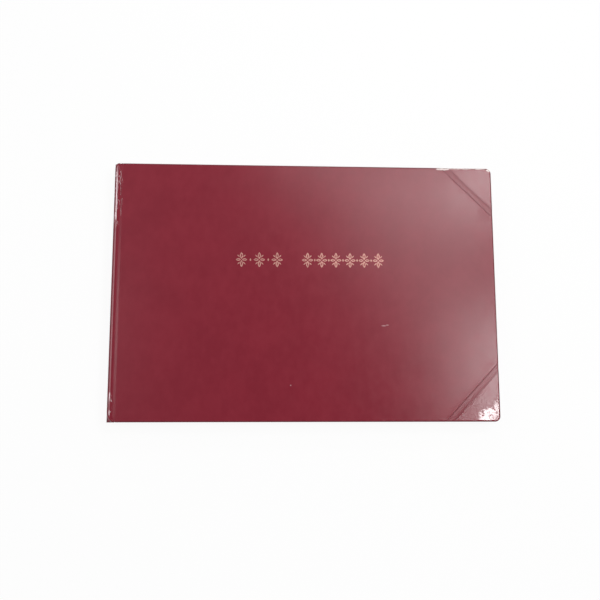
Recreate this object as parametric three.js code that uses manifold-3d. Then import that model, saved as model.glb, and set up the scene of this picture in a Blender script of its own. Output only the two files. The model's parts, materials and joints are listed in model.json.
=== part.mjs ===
// A hard-bound landscape ledger, closed and lying on its back cover.
// Millimetres. X runs from the spine to the fore-edge, Y from tail to head, Z up through the thickness.
// The origin is under the middle of the book, on the surface that it lies on.
import * as THREE from 'three'
import { mergeVertices } from 'three/addons/utils/BufferGeometryUtils.js'
import Module from 'manifold-3d'

const wasm = await Module()
wasm.setup()

// Covers
const BOOK_WIDTH = 320
const BOOK_HEIGHT = 215
const BOARD_THICKNESS = 2.4
const CLOTH_THICKNESS = 0.35
const TURN_IN = 15
const SPINE_SIDE_TURN_IN = 9
const FORE_CORNER_RADIUS = 4.6
const INNER_CORNER_RADIUS = 1.6
const COVER_EDGE_RADIUS = 1.0
const BOARD_EDGE_RADIUS = 0.7
const GLUE_GAP = 0.05
const PASTEDOWN_THICKNESS = 0.15
const PASTEDOWN_MARGIN = 4.5

// Corner pieces: how far each triangle reaches along its two edges, and the pared margin beyond it
const HEAD_CORNER_ACROSS = 37
const HEAD_CORNER_DOWN = 36.7
const TAIL_CORNER_ACROSS = 38.8
const TAIL_CORNER_DOWN = 41.1
const PARED_MARGIN = 4.9
const PARED_DEPTH = 0.18
const SEAM_GAP = 0.3

// Text block
const LEAF_THICKNESS = 0.11
const LEAVES_PER_SECTION = 10
const SECTION_COUNT = 10
const SECTION_GAP = 0.05
const FLYLEAF_THICKNESS = 0.15
const PAPER_GAP = 0.1
const HEAD_SQUARE = 3
const FORE_SQUARE = 3.6
const GUTTER_GAP = 0.2

// Spine
const SPINE_ROUND = 0.8
const SPINE_CARD_THICKNESS = 0.9
const KRAFT_THICKNESS = 0.2
const MULL_THICKNESS = 0.2
const TAPE_THICKNESS = 0.25
const TAPE_WIDTH = 14
const TAPE_COUNT = 3
const TAPE_PITCH = 62
const HOLLOW = 0.1
const SHOULDER_RADIUS = 2.1
const SHOULDER_DROP = 0.1
const SHOULDER_PLUG = 3
const SPINE_CORNER_RADIUS = 4.8
const HEADBAND_RADIUS = 0.75
const KRAFT_MARGIN = 2
const MULL_MARGIN = 10

// Joint groove between the spine and each board
const JOINT_WIDTH = 6.3
const JOINT_DEPTH = 2.6
const GROOVE_REACH = 2.75
const FACE_BELOW_SHOULDER = 0.5
const SHOULDER_END_ANGLE = Math.PI / 12
const TURN_LINE = 5.4

// Facets on the round parts, and how far a cutting solid runs past what it cuts
const CURVE_STEPS = 10
const EDGE_STEPS = 3
const CORNER_STEPS = 6
const SHOULDER_CORNER_FACETS = 48
const HEADBAND_STEPS = 12
const HEADBAND_SIDES = 5
const WELD = 1e-4
const CUT_PAST = 1

// Heights, from the outer face of the back cover to the outer face of the front one
const SECTION_THICKNESS = LEAF_THICKNESS * LEAVES_PER_SECTION
const COVER_THICKNESS = BOARD_THICKNESS + 2 * CLOTH_THICKNESS
const BLOCK_FLOOR = COVER_THICKNESS + PASTEDOWN_THICKNESS + PAPER_GAP
const SECTIONS_FLOOR = BLOCK_FLOOR + FLYLEAF_THICKNESS + SECTION_GAP
const SECTIONS_TOP =
  SECTIONS_FLOOR + SECTION_COUNT * SECTION_THICKNESS + (SECTION_COUNT - 1) * SECTION_GAP
const BLOCK_TOP = SECTIONS_TOP + SECTION_GAP + FLYLEAF_THICKNESS
const BOOK_THICKNESS = BLOCK_TOP + BLOCK_FLOOR
const MID = BOOK_THICKNESS / 2

// Widths
const SPINE_LEFT = -BOOK_WIDTH / 2
const FORE_EDGE = BOOK_WIDTH / 2
const COVER_LEFT = SPINE_LEFT + JOINT_WIDTH + CLOTH_THICKNESS
const HEAD = BOOK_HEIGHT / 2
const BLOCK_HEIGHT = BOOK_HEIGHT - 2 * HEAD_SQUARE
const CARD_DEPTH = CLOTH_THICKNESS + GLUE_GAP
const TURNED_CLOTH_DEPTH = CARD_DEPTH + SPINE_CARD_THICKNESS + GLUE_GAP
const KRAFT_DEPTH = TURNED_CLOTH_DEPTH + CLOTH_THICKNESS + HOLLOW
const MULL_DEPTH = KRAFT_DEPTH + KRAFT_THICKNESS + GLUE_GAP
const TAPE_DEPTH = MULL_DEPTH + MULL_THICKNESS + GLUE_GAP
const FOLD_DEPTH = TAPE_DEPTH + TAPE_THICKNESS + GLUE_GAP
const TURN_X = SPINE_LEFT + TURN_LINE
const LEAF_WIDTH = BOOK_WIDTH - FOLD_DEPTH - FORE_SQUARE
const SHOULDER_X = SPINE_LEFT + SPINE_ROUND + SHOULDER_RADIUS
const SHOULDER_Z = BOOK_THICKNESS - SHOULDER_DROP - SHOULDER_RADIUS
const CARD_HALF = SHOULDER_Z - MID - GLUE_GAP - CLOTH_THICKNESS

// Cutting solids reach across half the book, past any piece that they cut
const CUT_REACH = FORE_EDGE

// Finishes
const leatherette = new THREE.MeshStandardMaterial({ color: 0x76262f, roughness: 0.38 })
const greyboard = new THREE.MeshStandardMaterial({ color: 0x8d8474, roughness: 0.95 })
const endpaper = new THREE.MeshStandardMaterial({ color: 0xe9e4d6, roughness: 0.9 })
const ledgerPaper = new THREE.MeshStandardMaterial({ color: 0xf2efe2, roughness: 0.85 })
const kraftPaper = new THREE.MeshStandardMaterial({ color: 0xa98357, roughness: 0.9 })
const gauze = new THREE.MeshStandardMaterial({ color: 0xe6e2d8, roughness: 1 })
const tapeCotton = new THREE.MeshStandardMaterial({ color: 0xd9d2bd, roughness: 0.95 })
const headbandCloth = new THREE.MeshStandardMaterial({ color: 0xc43a3a, roughness: 0.8 })

const ledger = new THREE.Group()

function add(name, geometry, material) {
  const mesh = new THREE.Mesh(geometry, material)
  mesh.name = name
  ledger.add(mesh)
}

// Solids for cutting and joining
function solid(geometry) {
  const bare = geometry.index ? geometry.toNonIndexed() : geometry.clone()
  bare.deleteAttribute('normal')
  bare.deleteAttribute('uv')
  const merged = mergeVertices(bare, WELD)
  return new wasm.Manifold(new wasm.Mesh({
    numProp: 3,
    vertProperties: new Float32Array(merged.attributes.position.array),
    triVerts: new Uint32Array(merged.index.array)
  }))
}

function geometryOf(manifold) {
  const mesh = manifold.getMesh()
  const geometry = new THREE.BufferGeometry()
  geometry.setAttribute('position', new THREE.BufferAttribute(mesh.vertProperties, 3))
  geometry.setIndex(new THREE.BufferAttribute(mesh.triVerts, 1))
  geometry.computeVertexNormals()
  return geometry
}

// A rectangle in plan with its own radius at the spine corners and the fore-edge corners
function outline(left, right, halfHeight, spineRadius, foreRadius) {
  const shape = new THREE.Shape()
  shape.moveTo(left + spineRadius, -halfHeight)
  shape.lineTo(right - foreRadius, -halfHeight)
  shape.absarc(right - foreRadius, -halfHeight + foreRadius, foreRadius, -Math.PI / 2, 0)
  shape.lineTo(right, halfHeight - foreRadius)
  shape.absarc(right - foreRadius, halfHeight - foreRadius, foreRadius, 0, Math.PI / 2)
  shape.lineTo(left + spineRadius, halfHeight)
  shape.absarc(left + spineRadius, halfHeight - spineRadius, spineRadius, Math.PI / 2, Math.PI)
  shape.lineTo(left, -halfHeight + spineRadius)
  shape.absarc(left + spineRadius, -halfHeight + spineRadius, spineRadius, Math.PI, 1.5 * Math.PI)
  return shape
}

// A plate from low to high whose long edges are rounded all round
function plate(shape, low, high, edge) {
  const geometry = new THREE.ExtrudeGeometry(shape, {
    depth: high - low - 2 * edge,
    bevelEnabled: edge > 0,
    bevelThickness: edge,
    bevelSize: edge,
    bevelOffset: -edge,
    bevelSegments: EDGE_STEPS,
    curveSegments: CORNER_STEPS
  })
  return geometry.translate(0, 0, low + edge)
}

function slab(left, right, tail, head, low, high) {
  const geometry = new THREE.BoxGeometry(right - left, head - tail, high - low)
  return geometry.translate((left + right) / 2, (tail + head) / 2, (low + high) / 2)
}

// A cross-section drawn in X and Z, drawn out along Y
function alongSpine(points, tail, head) {
  const geometry = new THREE.ExtrudeGeometry(new THREE.Shape(points), {
    depth: head - tail,
    bevelEnabled: false
  })
  return geometry.rotateX(Math.PI / 2).translate(0, head, 0)
}

// The gentle round of the spine: X at a height, a given depth in from the outside of the cloth
function spineX(z, depth) {
  const share = (z - MID) / CARD_HALF
  return SPINE_LEFT + depth + SPINE_ROUND * share * share
}

function spineLayer(depth, thickness, halfRise) {
  const outside = []
  const inside = []
  for (let i = 0; i <= CURVE_STEPS; i++) {
    const z = MID - halfRise + (2 * halfRise * i) / CURVE_STEPS
    outside.push(new THREE.Vector2(spineX(z, depth), z))
    inside.unshift(new THREE.Vector2(spineX(z, depth + thickness), z))
  }
  return [...inside, ...outside]
}

// A diagonal band across a fore-edge corner, measured outwards from the triangle's long side
function cornerBand(side, across, down, fromLine, toLine) {
  const band = new THREE.BoxGeometry(toLine - fromLine, CUT_REACH, CUT_REACH)
  band.translate((fromLine + toLine) / 2, 0, 0)
  band.rotateZ(side * Math.atan2(across, down))
  return solid(band.translate(FORE_EDGE - across / 2, side * (HEAD - down / 2), 0))
}

// A board in its side cloth and two corner pieces, with its pastedown. The front is the back turned over.
function cover(name, flip) {
  const boardInset = CLOTH_THICKNESS + GLUE_GAP
  const envelope = solid(plate(
    outline(COVER_LEFT, FORE_EDGE, HEAD, INNER_CORNER_RADIUS, FORE_CORNER_RADIUS),
    0, COVER_THICKNESS, COVER_EDGE_RADIUS))
  const pocket = solid(plate(
    outline(COVER_LEFT + CLOTH_THICKNESS, FORE_EDGE - CLOTH_THICKNESS, HEAD - CLOTH_THICKNESS,
      INNER_CORNER_RADIUS - CLOTH_THICKNESS, FORE_CORNER_RADIUS - CLOTH_THICKNESS),
    CLOTH_THICKNESS, COVER_THICKNESS - CLOTH_THICKNESS, BOARD_EDGE_RADIUS))
  const window = solid(slab(
    COVER_LEFT + SPINE_SIDE_TURN_IN, FORE_EDGE - TURN_IN, -HEAD + TURN_IN, HEAD - TURN_IN,
    COVER_THICKNESS / 2, COVER_THICKNESS + CUT_PAST))
  const wrap = envelope.subtract(pocket).subtract(window)
  const pareDepth = solid(slab(
    COVER_LEFT, BOOK_WIDTH, -BOOK_HEIGHT, BOOK_HEIGHT, -CUT_PAST, PARED_DEPTH))

  const board = plate(
    outline(COVER_LEFT + boardInset, FORE_EDGE - boardInset, HEAD - boardInset,
      INNER_CORNER_RADIUS - boardInset, FORE_CORNER_RADIUS - boardInset),
    boardInset, COVER_THICKNESS - boardInset, BOARD_EDGE_RADIUS)

  const pieces = [[`${name}_board`, board, greyboard]]
  const headSide = flip ? -1 : 1
  let sides = wrap
  for (const [end, side, across, down] of [
    ['head', headSide, HEAD_CORNER_ACROSS, HEAD_CORNER_DOWN],
    ['tail', -headSide, TAIL_CORNER_ACROSS, TAIL_CORNER_DOWN]
  ]) {
    const corner = wrap
      .intersect(cornerBand(side, across, down, -PARED_MARGIN + SEAM_GAP, CUT_REACH))
      .subtract(cornerBand(side, across, down, -PARED_MARGIN, 0).intersect(pareDepth))
    pieces.push([`${name}_corner_${end}`, geometryOf(corner), leatherette])
    sides = sides.subtract(cornerBand(side, across, down, -PARED_MARGIN, CUT_REACH))
  }
  pieces.push([`${name}_side_cloth`, geometryOf(sides), leatherette])
  pieces.push([`${name}_pastedown`, slab(
    COVER_LEFT + CLOTH_THICKNESS, FORE_EDGE - PASTEDOWN_MARGIN,
    -HEAD + PASTEDOWN_MARGIN, HEAD - PASTEDOWN_MARGIN,
    COVER_THICKNESS, COVER_THICKNESS + PASTEDOWN_THICKNESS), endpaper])

  for (const [pieceName, geometry, material] of pieces) {
    if (flip) {
      geometry.rotateX(Math.PI)
      geometry.translate(0, 0, BOOK_THICKNESS)
    }
    add(pieceName, geometry, material)
  }
}

// Half of the spine cloth's outer line, from the middle of the spine over the shoulder to the groove
function spineClothLine() {
  const path = new THREE.Path()
  const faceTop = SHOULDER_Z - FACE_BELOW_SHOULDER
  const grooveFloor = BOOK_THICKNESS - JOINT_DEPTH
  path.moveTo(spineX(MID, 0), MID)
  path.quadraticCurveTo(spineX(MID, 0), (MID + faceTop) / 2, spineX(faceTop, 0), faceTop)
  path.absarc(SHOULDER_X, SHOULDER_Z, SHOULDER_RADIUS, Math.PI, SHOULDER_END_ANGLE, true)
  path.quadraticCurveTo(
    SHOULDER_X + SHOULDER_RADIUS, grooveFloor,
    SHOULDER_X + GROOVE_REACH, grooveFloor)
  path.lineTo(COVER_LEFT - SEAM_GAP, grooveFloor)
  return path.getPoints(CURVE_STEPS)
}

function offset(points, distance) {
  return points.map((point, i) => {
    const before = points[Math.max(i - 1, 0)]
    const after = points[Math.min(i + 1, points.length - 1)]
    const along = new THREE.Vector2().subVectors(after, before).normalize()
    return new THREE.Vector2(point.x + along.y * distance, point.y - along.x * distance)
  })
}

function turnedOver(points) {
  return points.map((point) => new THREE.Vector2(point.x, 2 * MID - point.y)).reverse()
}

function bothHalves(half) {
  return [...turnedOver(half.slice(1)), ...half]
}

// What rounds off the spine cloth's shoulders in plan, at one end of one shoulder
function shoulderCorner(end, low, high) {
  const radius = SPINE_CORNER_RADIUS
  const ends = end > 0 ? [HEAD - radius, HEAD + CUT_PAST] : [-HEAD - CUT_PAST, -HEAD + radius]
  const block = solid(slab(SPINE_LEFT - CUT_PAST, SPINE_LEFT + radius, ...ends, low, high))
  const round = new THREE.CylinderGeometry(radius, radius, CUT_REACH, SHOULDER_CORNER_FACETS)
  round.rotateX(Math.PI / 2)
  round.translate(SPINE_LEFT + radius, end * (HEAD - radius), (low + high) / 2)
  return block.subtract(solid(round))
}

// The cloth over the spine, turned in over the ends of the card, with its shoulders and joint grooves
function spineCloth() {
  const half = spineClothLine()
  const outside = bothHalves(half)
  const inside = bothHalves(offset(half, CLOTH_THICKNESS))
  let cloth = solid(alongSpine([...outside, ...inside.reverse()], -HEAD, HEAD))
  const cap = spineLayer(CLOTH_THICKNESS / 2, TURNED_CLOTH_DEPTH, CARD_HALF)
  const turned = spineLayer(TURNED_CLOTH_DEPTH, CLOTH_THICKNESS, CARD_HALF)
  const plugShape = new THREE.Shape()
  plugShape.absarc(SHOULDER_X, SHOULDER_Z, SHOULDER_RADIUS - CLOTH_THICKNESS / 2, 0, Math.PI)
  const plug = plugShape.getPoints(CURVE_STEPS)
  const atEnd = (end, depth) => (end > 0 ? [HEAD - depth, HEAD] : [-HEAD, -HEAD + depth])
  for (const end of [-1, 1]) {
    cloth = cloth
      .add(solid(alongSpine(cap, ...atEnd(end, CLOTH_THICKNESS))))
      .add(solid(alongSpine(turned, ...atEnd(end, TURN_IN))))
      .add(solid(alongSpine(plug, ...atEnd(end, SHOULDER_PLUG))))
      .add(solid(alongSpine(turnedOver(plug), ...atEnd(end, SHOULDER_PLUG))))
      .subtract(shoulderCorner(end, MID + CARD_HALF + GLUE_GAP, BOOK_THICKNESS + CUT_PAST))
      .subtract(shoulderCorner(end, -CUT_PAST, MID - CARD_HALF - GLUE_GAP))
  }
  return cloth
}

function spineLinings() {
  const halfBlock = BLOCK_HEIGHT / 2
  const halfSections = (SECTIONS_TOP - SECTIONS_FLOOR) / 2
  const cardEnd = HEAD - CLOTH_THICKNESS - GLUE_GAP
  add('spine_card', alongSpine(
    spineLayer(CARD_DEPTH, SPINE_CARD_THICKNESS, CARD_HALF), -cardEnd, cardEnd), greyboard)
  add('kraft_lining', alongSpine(
    spineLayer(KRAFT_DEPTH, KRAFT_THICKNESS, halfSections),
    -halfBlock + KRAFT_MARGIN, halfBlock - KRAFT_MARGIN), kraftPaper)
  add('mull', alongSpine(
    spineLayer(MULL_DEPTH, MULL_THICKNESS, halfSections),
    -halfBlock + MULL_MARGIN, halfBlock - MULL_MARGIN), gauze)
  for (let i = 0; i < TAPE_COUNT; i++) {
    const middle = (i - (TAPE_COUNT - 1) / 2) * TAPE_PITCH
    add(`sewing_tape_${i + 1}`, alongSpine(
      spineLayer(TAPE_DEPTH, TAPE_THICKNESS, halfSections),
      middle - TAPE_WIDTH / 2, middle + TAPE_WIDTH / 2), tapeCotton)
  }
}

// A rolled band on the end of the block, across the folds
function headband(end) {
  const halfSections = (SECTIONS_TOP - SECTIONS_FLOOR) / 2 - HEADBAND_RADIUS
  const y = end * (BLOCK_HEIGHT / 2 + GLUE_GAP + HEADBAND_RADIUS)
  const points = [-1, -0.5, 0, 0.5, 1].map((share) => {
    const z = MID + share * halfSections
    return new THREE.Vector3(spineX(z, FOLD_DEPTH + HEADBAND_RADIUS), y, z)
  })
  const section = new THREE.Shape()
  section.absarc(0, 0, HEADBAND_RADIUS, 0, 2 * Math.PI)
  return new THREE.ExtrudeGeometry(section, {
    steps: HEADBAND_STEPS,
    curveSegments: HEADBAND_SIDES,
    bevelEnabled: false,
    extrudePath: new THREE.CatmullRomCurve3(points)
  })
}

// Sections: each is a folded stack, sewn at its fold and turning at the gutter
function sectionFold(floor, apex) {
  const radius = SECTION_THICKNESS / 2
  const gutter = TURN_X - GUTTER_GAP / 2
  const fold = new THREE.Shape()
  fold.moveTo(gutter, floor)
  fold.lineTo(apex + radius, floor)
  fold.absarc(apex + radius, floor + radius, radius, 1.5 * Math.PI, 0.5 * Math.PI, true)
  fold.lineTo(gutter, floor + SECTION_THICKNESS)
  return alongSpine(fold.getPoints(CURVE_STEPS / 2), -BLOCK_HEIGHT / 2, BLOCK_HEIGHT / 2)
}

function leaves(floor, thickness, foreEdge) {
  return slab(TURN_X + GUTTER_GAP / 2, foreEdge, -BLOCK_HEIGHT / 2, BLOCK_HEIGHT / 2,
    floor, floor + thickness)
}

function textBlock() {
  for (let n = 1; n <= SECTION_COUNT; n++) {
    const label = String(n).padStart(2, '0')
    const floor = SECTIONS_FLOOR + (SECTION_COUNT - n) * (SECTION_THICKNESS + SECTION_GAP)
    const apex = spineX(floor + SECTION_THICKNESS / 2, FOLD_DEPTH)
    add(`section_${label}_fold`, sectionFold(floor, apex), ledgerPaper)
    add(`section_${label}_leaves`, leaves(floor, SECTION_THICKNESS, apex + LEAF_WIDTH), ledgerPaper)
  }
  const flyleafFore = spineX(SECTIONS_TOP, FOLD_DEPTH) + LEAF_WIDTH
  add('front_flyleaf', leaves(SECTIONS_TOP + SECTION_GAP, FLYLEAF_THICKNESS, flyleafFore), endpaper)
  add('back_flyleaf', leaves(BLOCK_FLOOR, FLYLEAF_THICKNESS, flyleafFore), endpaper)
}

add('spine_cloth', geometryOf(spineCloth()), leatherette)
spineLinings()
add('headband_head', headband(1), headbandCloth)
add('headband_tail', headband(-1), headbandCloth)
textBlock()
cover('front', true)
cover('back', false)

export default ledger
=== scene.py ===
import json
import math
import random

import bmesh
import bpy
from mathutils import Matrix, Vector

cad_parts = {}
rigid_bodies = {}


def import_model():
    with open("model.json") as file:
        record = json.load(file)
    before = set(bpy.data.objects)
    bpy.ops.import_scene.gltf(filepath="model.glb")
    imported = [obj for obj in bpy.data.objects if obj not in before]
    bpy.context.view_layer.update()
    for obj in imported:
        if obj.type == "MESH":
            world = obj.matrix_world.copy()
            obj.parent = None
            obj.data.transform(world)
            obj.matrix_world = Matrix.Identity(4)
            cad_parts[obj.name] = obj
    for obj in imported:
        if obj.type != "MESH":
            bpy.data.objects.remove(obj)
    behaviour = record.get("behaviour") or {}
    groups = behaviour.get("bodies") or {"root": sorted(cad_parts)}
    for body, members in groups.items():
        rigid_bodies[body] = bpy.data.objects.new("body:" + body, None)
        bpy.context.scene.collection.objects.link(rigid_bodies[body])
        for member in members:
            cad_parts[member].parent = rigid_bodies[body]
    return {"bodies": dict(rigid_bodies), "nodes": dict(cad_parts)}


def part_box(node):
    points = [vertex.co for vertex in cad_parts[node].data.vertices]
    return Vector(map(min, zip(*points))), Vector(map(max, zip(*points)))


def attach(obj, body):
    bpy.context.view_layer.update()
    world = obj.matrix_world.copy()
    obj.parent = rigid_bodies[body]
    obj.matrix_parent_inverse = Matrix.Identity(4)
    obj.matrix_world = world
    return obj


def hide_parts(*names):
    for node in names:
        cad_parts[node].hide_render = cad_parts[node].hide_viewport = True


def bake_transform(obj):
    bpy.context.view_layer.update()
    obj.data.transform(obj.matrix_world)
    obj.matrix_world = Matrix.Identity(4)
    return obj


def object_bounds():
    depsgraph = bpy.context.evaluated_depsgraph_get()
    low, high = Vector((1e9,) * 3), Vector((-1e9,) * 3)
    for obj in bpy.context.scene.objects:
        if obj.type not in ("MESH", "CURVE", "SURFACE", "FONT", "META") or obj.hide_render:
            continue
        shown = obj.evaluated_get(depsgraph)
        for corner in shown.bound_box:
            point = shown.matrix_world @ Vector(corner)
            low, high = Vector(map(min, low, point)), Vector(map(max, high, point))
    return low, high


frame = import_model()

MM = 0.001
CAD_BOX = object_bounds()

# The whole book
SPINE_LEFT = CAD_BOX[0].x
FORE_EDGE = CAD_BOX[1].x
HEAD = CAD_BOX[1].y
BOOK_TOP = CAD_BOX[1].z
MID = BOOK_TOP / 2

# Covers
COVER_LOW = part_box("front_side_cloth")[0]
PASTEDOWN_LOW, PASTEDOWN_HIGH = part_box("front_pastedown")
CLOTH = 0.35 * MM
TURN_IN = 15 * MM
SPINE_SIDE_TURN_IN = 9 * MM
FORE_CORNER_RADIUS = 4.6 * MM
INNER_CORNER_RADIUS = 1.6 * MM
COVER_EDGE_RADIUS = 1.0 * MM
BOARD_EDGE_RADIUS = 0.7 * MM
CORNER_SEGMENTS = 8
EDGE_SEGMENTS = 5
FACE_GRID = 8 * MM
FLAT_FROM_EDGE = 1.35 * MM
PASTEDOWN_SINK = 0.12 * MM
PASTEDOWN_SLOPE = 0.9 * MM

# Corner pieces
CORNER_LEGS = {"head": (37.0 * MM, 36.7 * MM), "tail": (38.8 * MM, 41.1 * MM)}
PARED_MARGIN = 4.9 * MM
PARED_DEPTH = 0.09 * MM
PARED_SLOPES = ((-5.0 * MM, -3.5 * MM), (-2.0 * MM, 0.4 * MM))
CREASE_AT = -4.85 * MM
CREASE_HALF = 0.35 * MM
CREASE_DEPTH = 0.07 * MM
RIM_AT = -5.6 * MM
RIM_HALF = 0.6 * MM
RIM_HEIGHT = 0.03 * MM
SEAM = 0.06 * MM
LIP = 0.05 * MM
FACE = BOOK_TOP - LIP

# Spine
SPINE_ROUND = 0.8 * MM
SHOULDER_RADIUS = 2.1 * MM
SHOULDER_DROP = BOOK_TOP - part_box("spine_cloth")[1].z
FACE_BELOW_SHOULDER = 0.5 * MM
CAP_DEPTH = 1.67 * MM
CAP_LEVEL = 15.26 * MM
CAP_TURN_IN = 2.9 * MM
RIDGE_ANGLE = 80
SHOULDER_STEPS = 14
SPINE_STEP_UP = 0.9 * MM
SPINE_STEP_ALONG = 9 * MM
SPINE_ROW_MARGIN = 0.2 * MM
SHOULDER_X = SPINE_LEFT + SPINE_ROUND + SHOULDER_RADIUS
SHOULDER_Z = BOOK_TOP - SHOULDER_DROP - SHOULDER_RADIUS
CARD_LOW, CARD_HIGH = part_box("spine_card")
CARD_HALF = (CARD_HIGH.z - CARD_LOW.z) / 2

# Leaves
SECTIONS = 10
LEAVES_PER_SECTION = 10
SHEETS_PER_SECTION = LEAVES_PER_SECTION // 2
LEAF_PITCH = 0.11 * MM
LEAF_THICKNESS = 0.092 * MM
TRIM_JITTER = 0.05 * MM
SECTION_TONES = (0.35, 0.75)
TONE_JITTER = 0.3
GUTTER_REACH = 20 * MM
GUTTER_ROWS = 16
GUTTER_CROWDING = 1.6
FOLD_STEPS = 6
FLYLEAF_THICKNESS = 0.12 * MM
FLYLEAF_SINK = 0.015 * MM
FLYLEAF_START = 2.2 * MM
FLYLEAF_BEND_REACH = 22 * MM
FLYLEAF_BEND_STEPS = 18
STRIP_THICKNESS = 0.06 * MM
STRIP_START = 2.4 * MM
STRIP_LAP = 0.3 * MM
STRIP_LIFT = 0.08 * MM
STRIP_STEPS = 16


# Shader maths

# A Mix node has sockets of one name for each kind of data: these are the colour ones.
MIX_SHARE, MIX_BELOW, MIX_ABOVE, MIX_RESULT = 0, 6, 7, 2


class Value:
    """A number that varies over a surface. Arithmetic on it adds Math nodes."""

    def __init__(self, finish, socket):
        self.finish = finish
        self.socket = socket

    def math(self, operation, *others, first=None):
        values = (self, *others) if first is None else (first, self)
        return self.finish.add("Math", {"operation": operation}, dict(enumerate(values)))["Value"]

    def __add__(self, other):
        return self.math("ADD", other)

    __radd__ = __add__

    def __sub__(self, other):
        return self.math("SUBTRACT", other)

    def __rsub__(self, other):
        return self.math("SUBTRACT", first=other)

    def __mul__(self, other):
        return self.math("MULTIPLY", other)

    __rmul__ = __mul__

    def __truediv__(self, other):
        return self.math("DIVIDE", other)

    def power(self, exponent):
        return self.math("POWER", exponent)

    def abs(self):
        return self.math("ABSOLUTE")

    def least(self, other):
        return self.math("MINIMUM", other)

    def most(self, other):
        return self.math("MAXIMUM", other)

    def repeat(self, period):
        """Where this falls in a pattern of that period, from 0 to the period."""
        return self.math("FLOORED_MODULO", period)

    def rise(self, low, high):
        """0 below low and 1 above high, smooth between."""
        return self.finish.add("MapRange", {"interpolation_type": "SMOOTHSTEP"}, {
            "Value": self, "From Min": low, "From Max": high})["Result"]


class Node:
    """A node of a finish, whose outputs are read by name."""

    def __init__(self, finish, node):
        self.finish = finish
        self.node = node

    def __getitem__(self, name):
        return Value(self.finish, self.node.outputs[name])


class Finish:
    """A procedural material or world, and the nodes that it is made of."""

    def __init__(self, owner, output="OutputMaterial"):
        self.owner = owner
        owner.use_nodes = True
        self.tree = owner.node_tree
        self.tree.nodes.clear()
        self.output = self.tree.nodes.new("ShaderNode" + output)

    @classmethod
    def material(cls, name):
        """A material that reads each point's place in the closed book, the same in every pose."""
        finish = cls(bpy.data.materials.new(name))
        finish.rest = finish.add("Attribute", {"attribute_name": "rest_place"})["Vector"]
        return finish

    def add(self, kind, settings=None, inputs=None):
        """A node of a kind, its settings set first, then the values or links of its sockets."""
        node = self.tree.nodes.new("ShaderNode" + kind)
        for setting, value in (settings or {}).items():
            if setting == "stops":
                ramp = node.color_ramp
                while len(ramp.elements) < len(value):
                    ramp.elements.new(0.5)
                for element, (position, colour) in zip(ramp.elements, value):
                    element.position = position
                    element.color = (*colour, 1)
            else:
                setattr(node, setting, value)
        for socket, value in (inputs or {}).items():
            if isinstance(value, Value):
                self.tree.links.new(value.socket, node.inputs[socket])
            else:
                node.inputs[socket].default_value = value
        return Node(self, node)

    def place(self, scale=(1, 1, 1), turn=(0, 0, 0)):
        return self.add("Mapping", None, {
            "Vector": self.rest, "Scale": scale, "Rotation": turn})["Vector"]

    def noise(self, size, detail=2.0, roughness=0.5, stretch=(1, 1, 1), turn=(0, 0, 0)):
        """Noise whose features are about size across."""
        where = self.place(stretch, turn)
        return self.add("TexNoise", None, {
            "Vector": where, "Scale": 1 / size, "Detail": detail, "Roughness": roughness})["Fac"]

    def axes(self, vector=None):
        split = self.add("SeparateXYZ", None, {"Vector": vector or self.rest})
        return split["X"], split["Y"], split["Z"]

    def blend(self, share, below, above):
        """A colour between two, each a fixed colour or a varying one."""
        return self.add("Mix", {"data_type": "RGBA", "clamp_factor": True}, {
            MIX_SHARE: share, MIX_BELOW: below, MIX_ABOVE: above})[MIX_RESULT]

    def bump(self, height, distance, strength=1.0, normal=None):
        inputs = {"Height": height, "Distance": distance, "Strength": strength}
        if normal is not None:
            inputs["Normal"] = normal
        return self.add("Bump", None, inputs)["Normal"]

    def surface(self, **inputs):
        """The Principled shader, its sockets named with underscores for spaces."""
        shader = self.add("BsdfPrincipled", None, {
            name.replace("_", " "): value for name, value in inputs.items()})
        self.tree.links.new(shader["BSDF"].socket, self.output.inputs["Surface"])
        return self.owner


def rgb(red, green, blue):
    """A colour written as 0 to 255 sRGB, as linear light."""
    def linear(v):
        v /= 255
        return v / 12.92 if v <= 0.04045 else ((v + 0.055) / 1.055) ** 2.4
    return (linear(red), linear(green), linear(blue), 1.0)


# Finishes

MAROON = rgb(133, 39, 53)
MAROON_DEEP = rgb(126, 35, 49)
# Painted shade for the covering's pared band, its creases and its rims
PAINTED_SHADE_MAROON = rgb(73, 24, 35)
# Painted glints on the creases and the shoulder ridge, and the pale of real nicks
GLINT_AND_NICK_PINK = rgb(243, 214, 219)
# Painted pale glints at the top edge of the front cover
GLINT_PALE = rgb(240, 226, 222)
PAPER = rgb(243, 240, 228)
PAPER_SHADE = rgb(226, 220, 202)
ENDPAPER = rgb(236, 231, 216)
RULING_BLUE = rgb(150, 178, 205)
RULING_RED = rgb(206, 120, 122)


def from_corner_line(across, along, end):
    """How far a point lies beyond the long side of a corner piece, towards the corner."""
    legs_across, legs_down = CORNER_LEGS[end]
    side = 1 if end == "head" else -1
    length = math.hypot(legs_across, legs_down)
    start = across * (legs_down / length) + along * (side * legs_across / length)
    reach = (FORE_EDGE - legs_across / 2) * legs_down + (HEAD - legs_down / 2) * legs_across
    return start - reach / length


def near(value, middle, width):
    """1 at the middle of a strip, falling to 0 at width from it."""
    return 1 - (value - middle).abs().rise(0.0, width)


def spot(across, along, place, size):
    """1 in the middle of an oval spot on the covers, falling to 0 at its edge."""
    x = (across - place[0] * MM) / (size[0] * MM)
    y = (along - place[1] * MM) / (size[1] * MM)
    return 1 - (x * x + y * y).rise(0.0, 1.0)


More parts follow.
